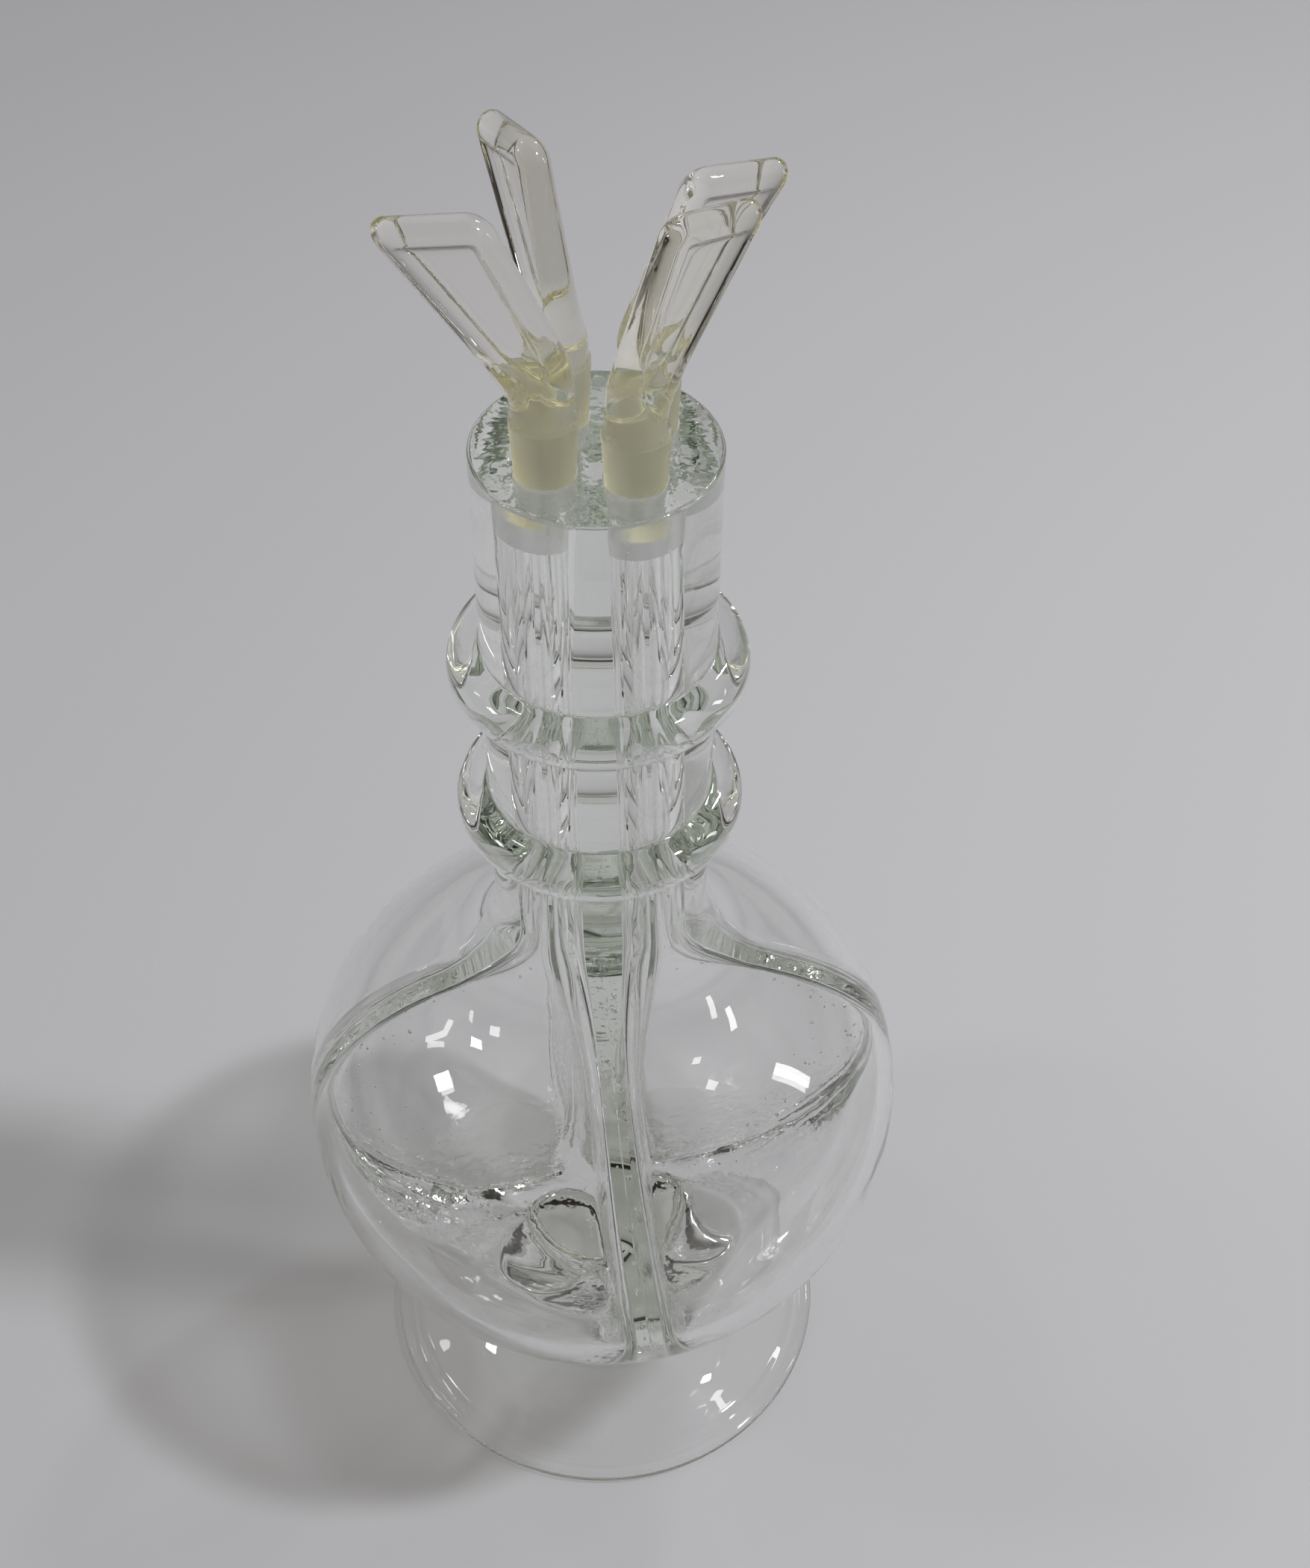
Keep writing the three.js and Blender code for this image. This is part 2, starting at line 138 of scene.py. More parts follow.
# side: quarter turn of its socket, height of its plug's top, the grip's bearing and extra lean
STOPPERS = {
    "front_left": (2, 11.3 * MM, math.radians(183), math.radians(2.5)),
    "front_right": (3, 10 * MM, math.radians(41), math.radians(-1)),
    "back_right": (0, 9.5 * MM, math.radians(32), math.radians(1)),
    "back_left": (1, 12.5 * MM, math.radians(128), math.radians(-2.5)),
}

# Light: a lamp's bearing and elevation in degrees, its size in metres and its brightness
LAMPS = [
    ("key_lamp", 101, 57, (0.10, 0.10), 318),
    ("left_lamp", -92, 40, (0.16, 0.16), 20),
    ("window_panel", 87, 28, (0.10, 0.44), 12),
    ("left_panel", -74, 38, (0.06, 0.18), 8),
    ("back_right_panel", 44, 47, (0.05, 0.22), 75),
    ("ceiling_lamp_left", -61, 64, (0.04, 0.14), 30),
    ("ceiling_lamp_back", -32, 59, (0.03, 0.03), 40),
]
LAMP_DISTANCE = 1.6

# Room: a pale backdrop, a dark band that gives the glass its dark edges, and a pale ceiling. Glass
# that is turned towards the camera reflects a dark screen behind it instead of the ceiling.
BACKDROP_COLOUR = "#9b9a9a"
BAND_FOOT = math.radians(11)
BAND_FOOT_BLUR = 0.05  # half the height of its soft edge, on a sphere of radius 1
BAND_COLOUR = "#1c1510"
BAND_TOP = math.radians(37)
BAND_TOP_BLUR = 0.1
CEILING_COLOUR = "#adabaa"
SCREEN_COLOUR = "#1f1612"
SCREEN_ELEVATION = math.radians(58)
SCREEN_HALF_WIDTH = math.radians(30)
SCREEN_BLUR = 1.2  # its soft edge ends at so many half widths

FLOOR_COLOUR = "#dcdce0"
FLOOR_HALF_SIZE = 12.0
FLOOR_DROP = 0.2 * MM

# Air caught where the bottles were fused: a thin film near the outside of each seam, and bubbles
FILM_WIDTH = 5.5 * MM
FILM_THICKNESS = 0.35 * MM
FILM_DEPTH = 4.6 * MM  # under the outside, to the film's middle
FILM_TOP = 166 * MM
FILM_FOOT = 54 * MM
FILM_WAVES = (5, 11.3, 23.7)  # waves along a film, unlike so that its shape never repeats
FILM_WIDTH_SWELL = 0.25
FILM_THICKNESS_SWELL = 0.5
BUBBLES = 420
BUBBLE_RADII = (0.2 * MM, 0.62 * MM)
BUBBLE_SHRINK = (0.5, 1)  # a second draw, which makes small ones commoner
BUBBLE_STRETCH = (1, 2.4)
BUBBLE_SEED = 5
BUBBLE_CLOSENESS = 1.4  # power that crowds them towards the foot of the seams
BUBBLE_NEAREST_FILM = 0.75 * FILM_WIDTH  # from a film's middle, clear of it where it is widest
BUBBLE_DEEPEST = 26 * MM  # added to their greatest depth at the foot of the seams
BUBBLE_NEAREST_AXIS = 4 * MM
BUBBLE_SPREAD = 0.3  # of the web's thickness, to either side of its middle

# Uneven glass: the neck's flat top, and the lower webs where the bottles were pressed together
UNEVEN_SPACING = 4 * MM
UNEVEN_HEIGHT = 0.5 * MM
LOW_WEB_UNEVENNESS = 1.2  # against the neck's top
LOW_WEB_HEIGHT = 48 * MM  # above a chamber's floor, where it ends
LOW_WEB_WIDTH = 10 * MM  # beside the web, over which it runs out

# Slow ripples that the blower's breath and tools leave in every surface
RIPPLE_SPACING = 15 * MM
RIPPLE_HEIGHT = 0.08 * MM

# Grit of the ground faces, which is about 0.1 mm or finer and is drawn this coarse to show at all
GRIT_SPACING = 0.5 * MM
GRIT_HEIGHT = 0.05 * MM

# Relief of the glass: the mark that scales it, its spacing and detail, its strength and height
RELIEFS = [
    ("ground", GRIT_SPACING, 3.0, 0.3, GRIT_HEIGHT),
    ("uneven", UNEVEN_SPACING, 2.0, 1.0, UNEVEN_HEIGHT),
    (None, RIPPLE_SPACING, 1.0, 1.0, RIPPLE_HEIGHT),
]

GLASS_BOUNCES = 32
GLASS_PASSES = "#fefefe"  # share of the room's light that one surface lets through

# Mesh fineness
ROUND_COLUMNS = 160
OUTSIDE_ROWS = 200
BEVEL_ROWS = 7
CHAMBER_COLUMNS = 72
CHAMBER_ROWS = 80
FLOOR_SHARES = (0.12, 0.35, 0.6, 0.8, 0.93)  # of the way out across a chamber's floor
FILLET_ROWS = 14
BORE_ROWS = 24
SOCKET_ROWS = 8
STOPPER_COLUMNS = 112
PLUG_END_SHARES = (0.15, 0.5, 0.85, 1)  # of the way out across a plug's end
PLUG_ROWS = 14
GRIP_ROOT_ROWS, GRIP_ROWS, GRIP_TOP_ROWS = 26, 30, 28
FILM_ROWS, FILM_COLUMNS = 110, 12
BUBBLE_ROWS, BUBBLE_COLUMNS = 4, 7
SHARP_ANGLE = math.radians(35)

# Points drawn along each line before its rows or columns are shared out
HOLLOW_POINTS = 100
RIM_POINTS = 40
SWEEP_POINTS = 400
SIDE_POINTS = 200
COLLAR_POINTS = 80
CORNER_POINTS = 60
FINE_STEP = 0.1 * MM  # along the outside, for the softening of its corners
BISECTIONS = 50  # halvings in the search for where a bottle's two curves touch


def add_camera():
    """A pinhole camera at the photograph's place: level distance, height and three turns."""
    pitch, yaw, roll = CAMERA_PITCH, CAMERA_YAW, CAMERA_ROLL
    forward = Vector((math.sin(yaw) * math.cos(pitch), math.cos(yaw) * math.cos(pitch), -math.sin(pitch)))
    level_right = Vector((math.cos(yaw), -math.sin(yaw), 0))
    level_up = level_right.cross(forward)
    right = math.cos(roll) * level_right + math.sin(roll) * level_up
    up = -math.sin(roll) * level_right + math.cos(roll) * level_up
    turn = Matrix.Rotation(CAMERA_BEARING, 4, "Z")
    pose = Matrix((right, up, -forward)).transposed().to_4x4()
    pose.translation = Vector((0, -CAMERA_DISTANCE, CAMERA_HEIGHT))
    data = bpy.data.cameras.new("camera")
    data.sensor_width = SENSOR_MM
    data.lens = FOCAL_LENGTH_PX * SENSOR_MM / max(PHOTO_WIDTH, PHOTO_HEIGHT)
    camera = bpy.data.objects.new("camera", data)
    camera.matrix_world = turn @ pose
    bpy.context.scene.collection.objects.link(camera)
    bpy.context.scene.camera = camera


def arc(x, z, radius_x, radius_z, start, end, count):
    """Points on an ellipse about (x, z), from one angle to another, both ends included."""
    angle = np.linspace(start, end, count)
    return np.column_stack([x + radius_x * np.cos(angle), z + radius_z * np.sin(angle)])


def walked(points):
    """Length walked along a line of points, starting at nought."""
    return np.concatenate([[0], np.cumsum(np.linalg.norm(np.diff(points, axis=0), axis=1))])


def resample(points, positions):
    """The points at the given lengths along a line."""
    along = walked(points)
    return np.column_stack([np.interp(positions, along, column) for column in points.T])


def soften(points, width):
    """The line averaged over a bell of the given width, which rounds its corners as a flame does.

    The line goes in at even steps, and both ends stay where they are.
    """
    reach = int(4 * width / FINE_STEP)
    bell = np.exp(-0.5 * (np.arange(-reach, reach + 1) * FINE_STEP / width) ** 2)
    bell /= bell.sum()
    # Carried past its ends by a half turn, so that the ends keep their place.
    before = 2 * points[0] - points[reach:0:-1]
    after = 2 * points[-1] - points[-2 : -reach - 2 : -1]
    longer = np.concatenate([before, points, after])
    return np.column_stack([np.convolve(column, bell, mode="valid") for column in longer.T])


def by_length_and_turn(points, count):
    """The line at count points, spaced half by length and half by how far it turns."""
    steps = np.diff(points, axis=0)
    heading = np.unwrap(np.arctan2(steps[:, 1], steps[:, 0]))
    length = np.linalg.norm(steps, axis=1)
    turn = np.abs(np.concatenate([[0], np.diff(heading)]))
    share = np.cumsum(length / length.sum() + turn / turn.sum())
    share = np.concatenate([[0], share]) / share[-1]
    wanted = np.linspace(0, 1, count)
    return np.column_stack([np.interp(wanted, share, column) for column in points.T])


def bottle_side(radius, lower_half, upper_half, neck_radius, sweep, start_radius):
    """Points up a bottle's side: an ellipse, then a concave arc that touches it and the neck."""

    def sweep_centre(angle):
        normal = math.hypot(upper_half * math.cos(angle), radius * math.sin(angle))
        return (
            radius * math.cos(angle) + sweep * upper_half * math.cos(angle) / normal,
            GLOBE_LEVEL + upper_half * math.sin(angle) + sweep * radius * math.sin(angle) / normal,
        )

    low, high = 0.0, QUARTER
    for _ in range(BISECTIONS):
        middle = (low + high) / 2
        if sweep_centre(middle)[0] > neck_radius + sweep:
            low = middle
        else:
            high = middle
    x, z = sweep_centre(low)
    touch_x, touch_z = radius * math.cos(low), GLOBE_LEVEL + upper_half * math.sin(low)
    start = -math.acos(start_radius / radius)
    return np.concatenate(
        [
            arc(0, GLOBE_LEVEL, radius, lower_half, start, 0, SIDE_POINTS),
            arc(0, GLOBE_LEVEL, radius, upper_half, 0, low, SIDE_POINTS)[1:],
            arc(x, z, sweep, sweep, math.atan2(touch_z - z, touch_x - x), -math.pi, SIDE_POINTS)[1:],
        ]
    )


def globe_side():
    """Points up the globe's outside, from the stem to the neck."""
    return bottle_side(
        GLOBE_RADIUS, GLOBE_LOWER_HALF, GLOBE_UPPER_HALF, NECK_RADIUS, SHOULDER_RADIUS, STEM_RADIUS
    )


def outside_profile():
    """Radius and height up the outside, from under the foot's middle to the neck's top edge."""
    rim = FOOT_RIM_THICKNESS / 2
    ring_inner = FOOT_RADIUS - rim - FOOT_RESTING_WIDTH
    across = np.linspace(0, 1, HOLLOW_POINTS)
    hollow = np.column_stack([ring_inner * across, FOOT_HOLLOW_DEPTH * (1 - across**2)])
    edge = arc(FOOT_RADIUS - rim, rim, rim, rim, -QUARTER, QUARTER, RIM_POINTS)
    width = FOOT_RADIUS - rim - STEM_RADIUS
    height = FOOT_HEIGHT - FOOT_RIM_THICKNESS
    sweep = arc(FOOT_RADIUS - rim, FOOT_HEIGHT, -width, -height, QUARTER, 0, SWEEP_POINTS)
    beside = (FOOT_RADIUS - FOOT_GROOVE_INSET - sweep[:, 0]) / FOOT_GROOVE_WIDTH
    sweep[:, 1] -= FOOT_GROOVE_DEPTH * np.exp(-(beside**2))
    bands = []
    for low, high in COLLARS:
        middle = (low.z + high.z) / 2
        out, up = high.x - NECK_RADIUS, (high.z - low.z) / 2
        bands.append(arc(NECK_RADIUS, middle, out, up, -QUARTER, QUARTER, COLLAR_POINTS))
    neck_end = [[NECK_RADIUS, NECK_TOP - NECK_BEVEL]]
    whole = np.concatenate([hollow, edge, sweep[1:], globe_side()[1:], *bands, neck_end])
    length = walked(whole)[-1]
    even = resample(whole, np.linspace(0, length, round(length / FINE_STEP)))
    polished = soften(even, FIRE_POLISH)
    filleted = soften(even, STEM_FILLET)
    away = np.hypot(even[:, 0] - STEM_RADIUS, even[:, 1] - FOOT_HEIGHT)
    share = np.exp(-((away / STEM_FILLET_REACH) ** 4))[:, None]
    line = polished * (1 - share) + filleted * share
    line = by_length_and_turn(line, OUTSIDE_ROWS)
    out, up = NECK_RADIUS - NECK_BEVEL, NECK_TOP - NECK_BEVEL
    bevel = arc(out, up, NECK_BEVEL, NECK_BEVEL, 0, QUARTER, BEVEL_ROWS)
    return np.concatenate([line, bevel[1:]])


def web_angle(height):
    """Turn of the web at a height: none among the sockets, then steady on the way down."""
    return WEB_TWIST * np.maximum(0, SOCKET_END - height)


def chamber_outline(reach, half_web, inner_corner=BORE_RADIUS, seam_corner=BORE_RADIUS):
    """A quarter circle less half the web on two sides, with rounded corners, as columns of x and y.

    The corner arcs and the two straight sides follow from how far the outline reaches from the axis.
    Where the reach is a bore's, all five arcs fall together into a circle. Columns are spaced half by
    length and half by turn, so that a column keeps to its own corner from ring to ring.
    """
    roundest = (reach - SQRT2 * half_web) / (1 + SQRT2)
    inner = min(inner_corner, roundest)
    seam = min(seam_corner, roundest)
    middle = half_web + inner
    inset = half_web + seam
    core = max(reach - seam, math.hypot(inset, middle))
    along = math.sqrt(core**2 - inset**2)
    tilt = math.atan2(inset, along)
    count = CORNER_POINTS
    pieces = [
        arc(middle, middle, inner, inner, -1.5 * QUARTER, -QUARTER, count),
        arc(along, inset, seam, seam, -QUARTER, tilt, count),
        arc(0, 0, core + seam, core + seam, tilt, QUARTER - tilt, count),
        arc(inset, along, seam, seam, QUARTER - tilt, 2 * QUARTER, count),
        arc(middle, middle, inner, inner, 2 * QUARTER, 2.5 * QUARTER, count),
    ]
    turns = [0.5 * QUARTER, QUARTER + tilt, QUARTER - 2 * tilt, QUARTER + tilt, 0.5 * QUARTER]
    line = np.concatenate(pieces)
    length = walked(line)
    turn = np.concatenate([np.linspace(0, t, count) + sum(turns[:i]) for i, t in enumerate(turns)])
    share = length / length[-1] + turn / turn[-1]
    wanted = np.linspace(0, 2, CHAMBER_COLUMNS, endpoint=False)
    return np.column_stack([np.interp(wanted, share, column) for column in line.T])


def chamber_rings():
    """Rings of the first chamber from its floor's middle to its socket: pairs of outline and height.

    The floor's rings shrink to its middle. Above it each ring is the outline at the reach of the
    bottle's side there, drawn in from the web over the floor's fillet, and last the round bore.
    """
    radius = GLOBE_RADIUS - WALL
    lower_half = GLOBE_LOWER_HALF - BASE_WALL
    half_web = WEB_THICKNESS / 2
    floor_z = chamber_floor()
    slope = math.atan2(lower_half**2 * FLOOR_REACH, radius**2 * (GLOBE_LEVEL - floor_z))
    tangent = WALL_FILLET * math.tan(slope / 2)

    def reach_at(height):
        if height < tangent * math.sin(slope):
            return FLOOR_REACH - tangent + math.sqrt(WALL_FILLET**2 - (WALL_FILLET - height) ** 2)
        return radius * math.sqrt(1 - ((GLOBE_LEVEL - floor_z - height) / lower_half) ** 2)

    side = bottle_side(
        radius,
        lower_half,
        GLOBE_UPPER_HALF - SHOULDER_WALL,
        BORE_REACH,
        CHAMBER_SHOULDER_RADIUS,
        reach_at(FLOOR_FILLET),
    )
    side = by_length_and_turn(side, CHAMBER_ROWS)

    def ring_at(reach, height, inset=0.0):
        low = smooth_step(1 - height / LOW_CORNER_HEIGHT)
        wide = smooth_step((reach - BORE_REACH) / SEAM_CORNER_REACH)
        seam_corner = BORE_RADIUS + (SEAM_CORNER_RADIUS - BORE_RADIUS) * wide
        corners = [
            corner + (LOW_CORNER_RADIUS - corner) * low for corner in (CORNER_RADIUS, seam_corner)
        ]
        return chamber_outline(reach, half_web + inset, *corners), floor_z + height

    fillet = []
    for angle in np.linspace(0, QUARTER, FILLET_ROWS)[:-1]:
        height = FLOOR_FILLET * (1 - math.cos(angle))
        inset = FLOOR_FILLET * (1 - math.sin(angle))
        fillet.append(ring_at(reach_at(height), height, inset))
    end = fillet[0][0]
    middle = end.mean(axis=0)
    rings = [(middle + share * (end - middle), floor_z) for share in FLOOR_SHARES]
    rings += fillet
    rings += [ring_at(reach, z - floor_z) for reach, z in side]
    bore = chamber_outline(BORE_REACH, half_web)
    rings += [(bore, z) for z in np.linspace(side[-1, 1], SOCKET_END, BORE_ROWS)[1:]]
    return rings


def socket_rings(stand, centre):
    """Circles up the ground socket of a plug whose top stands that far above the neck's top."""
    angle = -1.5 * QUARTER + np.linspace(0, 4 * QUARTER, CHAMBER_COLUMNS, endpoint=False)
    circle = np.column_stack([np.cos(angle), np.sin(angle)])
    depths = np.linspace(SOCKET_DEPTH, 0, SOCKET_ROWS)
    radii = PLUG_TOP_RADIUS - PLUG_TAPER * (stand + depths) + SOCKET_CLEARANCE
    return [(centre + radius * circle, NECK_TOP - depth) for radius, depth in zip(radii, depths)]


def turned(points, angle):
    """Columns of x and y turned about the axis."""
    cos, sin = math.cos(angle), math.sin(angle)
    return points @ np.array([[cos, sin], [-sin, cos]])


def grid_faces(rows, columns, first=0):
    """Quads between rings of equally many vertices that close round, outwards for rising rings."""
    row, column = np.meshgrid(np.arange(rows - 1), np.arange(columns), indexing="ij")
    beside = (column + 1) % columns
    a = first + row * columns + column
    b = first + row * columns + beside
    return np.stack([a, b, b + columns, a + columns], axis=-1).reshape(-1, 4)


def fan_faces(middle, ring_first, columns, outwards):
    """Triangles from a middle vertex to a ring."""
    around = ring_first + np.arange(columns)
    after = ring_first + (np.arange(columns) + 1) % columns
    pair = (around, after) if outwards else (after, around)
    return np.column_stack([np.full(columns, middle), *pair])


def add_piece(name, points, faces, material, ground, uneven):
    """A mesh object, smooth but for its sharp edges.

    It says of each face whether it is ground, and of each vertex how uneven the glass is there.
    """
    mesh = bpy.data.meshes.new(name)
    mesh.from_pydata(points.tolist(), [], [list(map(int, face)) for face in faces])
    mesh.validate()
    for mark, domain, values in (("ground", "FACE", ground), ("uneven", "POINT", uneven)):
        layer = mesh.attributes.new(mark, "FLOAT", domain)
        layer.data.foreach_set("value", np.asarray(values, np.float32))
    mesh.shade_smooth()
    mesh.set_sharp_from_angle(angle=SHARP_ANGLE)
    mesh.materials.append(material)
    piece = bpy.data.objects.new(name, mesh)
    bpy.context.scene.collection.objects.link(piece)
    return piece


def vessel_mesh():
    """Vertices, faces, ground marks and uneven marks of the fused vessel.

    It holds the outside, the flat top, the chambers and the caught air.
    """
    profile = outside_profile()
    rows = len(profile) - 1
    angle = np.linspace(0, 4 * QUARTER, ROUND_COLUMNS, endpoint=False)
    radius, height = profile[1:, 0][:, None], profile[1:, 1][:, None]
    outside = np.stack(
        [radius * np.cos(angle), radius * np.sin(angle), np.broadcast_to(height, (rows, ROUND_COLUMNS))], -1
    )
    points = [np.array([[0, 0, profile[0, 1]]]), outside.reshape(-1, 3)]
    faces = [*fan_faces(0, 1, ROUND_COLUMNS, False), *grid_faces(rows, ROUND_COLUMNS, 1)]
    count = 1 + rows * ROUND_COLUMNS
    top_loops = [np.arange(count - ROUND_COLUMNS, count)]
    ground = [0.0] * len(faces)
    uneven = [np.zeros(count)]
    rings = chamber_rings()[:-1]
    lumps = [low_web_unevenness(outline, level) for outline, level in rings]
    centre = np.array([BORE_OFFSET, BORE_OFFSET])
    for quarter, stand, _, _ in STOPPERS.values():
        turn = quarter * QUARTER
        sockets = socket_rings(stand, centre)
        whole = [(turned(xy, web_angle(z) + turn), z) for xy, z in rings]
        whole += [(turned(xy, turn), z) for xy, z in sockets]
        first = count + 1
        points.append(np.array([[*whole[0][0].mean(axis=0), whole[0][1]]]))
        points += [np.column_stack([xy, np.full(len(xy), z)]) for xy, z in whole]
        uneven += [[0], *lumps, np.zeros(len(sockets) * CHAMBER_COLUMNS)]
        chamber = [
            *fan_faces(count, first, CHAMBER_COLUMNS, True),
            *grid_faces(len(whole), CHAMBER_COLUMNS, first)[:, ::-1],
        ]
        faces += chamber
        ground_faces = (len(sockets) - 1) * CHAMBER_COLUMNS
        ground += [0.0] * (len(chamber) - ground_faces) + [1.0] * ground_faces
        count = first + len(whole) * CHAMBER_COLUMNS
        top_loops.append(np.arange(count - CHAMBER_COLUMNS, count))
    for air in caught_air():
        shell_points, shell = air_shell(air, count)
        points.append(shell_points)
        faces += shell
        ground += [0.0] * len(shell)
        uneven.append(np.zeros(len(shell_points)))
        count += len(shell_points)
    points = np.concatenate(points)
    top = flat_top_faces(points, top_loops)
    uneven = np.concatenate(uneven)
    uneven[np.concatenate(top_loops)] = 1
    return points, faces + top, ground + [0.0] * len(top), uneven


def air_shell(rings, first):
    """Vertices and faces of caught air: its rings, closed by a fan at each end.

    The faces look inwards, because the glass is outside them.
    """
    rows, columns = rings.shape[:2]
    ends = [rings[0].mean(axis=0), rings[-1].mean(axis=0)]
    start_end = first + rows * columns
    rising = rings[-1, 0, 2] > rings[0, 0, 2]
    side = grid_faces(rows, columns, first)
    faces = [
        *(side[:, ::-1] if rising else side),
        *fan_faces(start_end, first, columns, rising),
        *fan_faces(start_end + 1, start_end - columns, columns, not rising),
    ]
    return np.concatenate([rings.reshape(-1, 3), ends]), faces


def low_web_unevenness(outline, level):
    """How uneven a ring of the first chamber is: the more, the nearer to the webs and to the floor."""
    beside = (outline.min(axis=1) - WEB_THICKNESS / 2) / LOW_WEB_WIDTH
    low = smooth_step(1 - (level - chamber_floor()) / LOW_WEB_HEIGHT)
    return LOW_WEB_UNEVENNESS * low * np.exp(-(beside**2))


def chamber_floor():
    """Height of the chambers' floors at their outer edge."""
    out = FLOOR_REACH / (GLOBE_RADIUS - WALL)
    return GLOBE_LEVEL - (GLOBE_LOWER_HALF - BASE_WALL) * math.sqrt(1 - out**2)


def globe_radius(height):
    """Radius of the globe's outside at a height."""
    side = globe_side()
    return np.interp(height, side[:, 1], side[:, 0])


def seam_point(quarter, out, across, height):
    """A point on a seam: its distance from the axis, its offset from the seam's plane, its height."""
    angle = web_angle(height) + quarter * QUARTER
    x = out * np.cos(angle) - across * np.sin(angle)
    y = out * np.sin(angle) + across * np.cos(angle)
    return np.stack(np.broadcast_arrays(x, y, height), axis=-1)


def film_mesh(quarter):
    """A film of air in a seam: rows of flat ellipses down it, whose width swells and shrinks in waves.

    Width and thickness are the square root of one less the eighth power of the way from the film's
    middle, so they hold along it and run out steeply at both ends. Waves of unlike length make the
    film uneven.
    """
    along = np.linspace(0, 1, FILM_ROWS)[:, None]
    height = FILM_TOP + (FILM_FOOT - FILM_TOP) * along
    phase = np.linspace(0, 4 * QUARTER, FILM_COLUMNS, endpoint=False)[None, :]
    waves = sum(np.sin(turns * along * 4 * QUARTER + quarter * turns) for turns in FILM_WAVES)
    waves = waves / len(FILM_WAVES)
    ends = np.sqrt(np.clip(1 - (2 * along - 1) ** 8, 0, 1))
    half_width = FILM_WIDTH / 2 * ends * (1 + FILM_WIDTH_SWELL * waves)
    half_thickness = FILM_THICKNESS / 2 * ends * (1 + FILM_THICKNESS_SWELL * waves)
    out = globe_radius(height) - FILM_DEPTH + half_width * np.cos(phase)
    return seam_point(quarter, out[1:-1], (half_thickness * np.sin(phase))[1:-1], height[1:-1])


def bubble_rings(middle, radius, stretch):
    """Rings of a bubble from its lower to its upper end, drawn out upwards as the glass was pulled."""
    latitude = np.linspace(-QUARTER, QUARTER, BUBBLE_ROWS + 2)[1:-1, None]
    around = np.linspace(0, 4 * QUARTER, BUBBLE_COLUMNS, endpoint=False)[None, :]
    ring = np.stack(
        np.broadcast_arrays(
            np.cos(latitude) * np.cos(around), np.cos(latitude) * np.sin(around), stretch * np.sin(latitude)
        ),
        axis=-1,
    )
    return middle + radius * ring


def caught_air():
    """Every film and bubble as rings of points: bubbles beside the films and in the webs below.

    A bubble's place in its seam, its depth below the outside, its size and its stretch are drawn at
    random. The lower it lies the deeper it may lie, because the seams are thickest there.
    """
    closed = [film_mesh(quarter) for quarter in range(4)]
    draw = np.random.default_rng(BUBBLE_SEED)
    for number in range(BUBBLES):
        share = draw.uniform(0, 1)
        height = FILM_FOOT + (FILM_TOP - FILM_FOOT) * share**BUBBLE_CLOSENESS
        deepest = 2 * FILM_WIDTH + BUBBLE_DEEPEST * (1 - share) ** 2
        under = FILM_DEPTH + BUBBLE_NEAREST_FILM + draw.uniform(0, 1) ** 2 * deepest
        out = max(BUBBLE_NEAREST_AXIS, globe_radius(height) - under)
        across = draw.uniform(-BUBBLE_SPREAD, BUBBLE_SPREAD) * WEB_THICKNESS
        middle = seam_point(number % 4, out, across, height)
        radius = draw.uniform(*BUBBLE_RADII) * draw.uniform(*BUBBLE_SHRINK)
        closed.append(bubble_rings(middle, radius, draw.uniform(*BUBBLE_STRETCH)))
    return closed


def flat_top_faces(points, loops):
    """Triangles of the neck's flat top, between its edge and the mouths of the four sockets."""
    index = np.concatenate(loops)
    flat = [Vector((points[i][0], points[i][1])) for i in index]
    edges, first = [], 0
    for loop in loops:
        size = len(loop)
        edges += [(first + i, first + (i + 1) % size) for i in range(size)]
        first += size
    _, _, found, origins, _, _ = delaunay_2d_cdt(flat, edges, [], 0, 1e-9)
    mouths = [points[loop][:, :2] for loop in loops[1:]]
    circles = [(xy.mean(axis=0), np.linalg.norm(xy - xy.mean(axis=0), axis=1).max()) for xy in mouths]
    faces = []
    for face in found:
        corners = [index[origins[i][0]] for i in face]
        middle = points[corners][:, :2].mean(axis=0)
        if all(np.linalg.norm(middle - centre) > radius for centre, radius in circles):
            a, b, c = points[corners][:, :2]
            upwards = (b - a)[0] * (c - a)[1] - (b - a)[1] * (c - a)[0] > 0
            faces.append(corners if upwards else corners[::-1])
    return faces


def soft_ramp(x, width):
    """Nought below nought and x above it, with the corner rounded over about the width."""
    return width * np.logaddexp(0, x / width)


def smooth_step(x):
    """From nought to one with a level start and end."""
    x = np.clip(x, 0, 1)
    return x * x * (3 - 2 * x)


def slab_ring(half_length, half_thickness, face_depth=0.0):
    """An outline with half-circle ends and flat sides, each side sunk by the depth between the ends.

    The columns are shared evenly by length, starting at the middle of an end.
    """
    shift = half_length - half_thickness
    end = np.linspace(0, QUARTER, CORNER_POINTS)
    corner = np.column_stack([shift + half_thickness * np.cos(end), half_thickness * np.sin(end)])
    x = np.linspace(shift, 0, SIDE_POINTS)[1:]
    side = np.column_stack([x, half_thickness - face_depth * smooth_step((shift - x) / GRIP_FACE_SLOPE)])
    quarter = np.concatenate([corner, side])
    half = np.concatenate([quarter, quarter[-2::-1] * [-1, 1]])
    line = np.concatenate([half, half[-2::-1] * [1, -1]])
    return resample(line, np.linspace(0, walked(line)[-1], STOPPER_COLUMNS, endpoint=False))


def top_rounding(z, radius):
    """How far a quarter circle of the radius, under the grip's top, has drawn in at a height."""
    over = np.clip((z - GRIP_HEIGHT + radius) / radius, 0, 1)
    return radius * (1 - math.sqrt(1 - over**2))


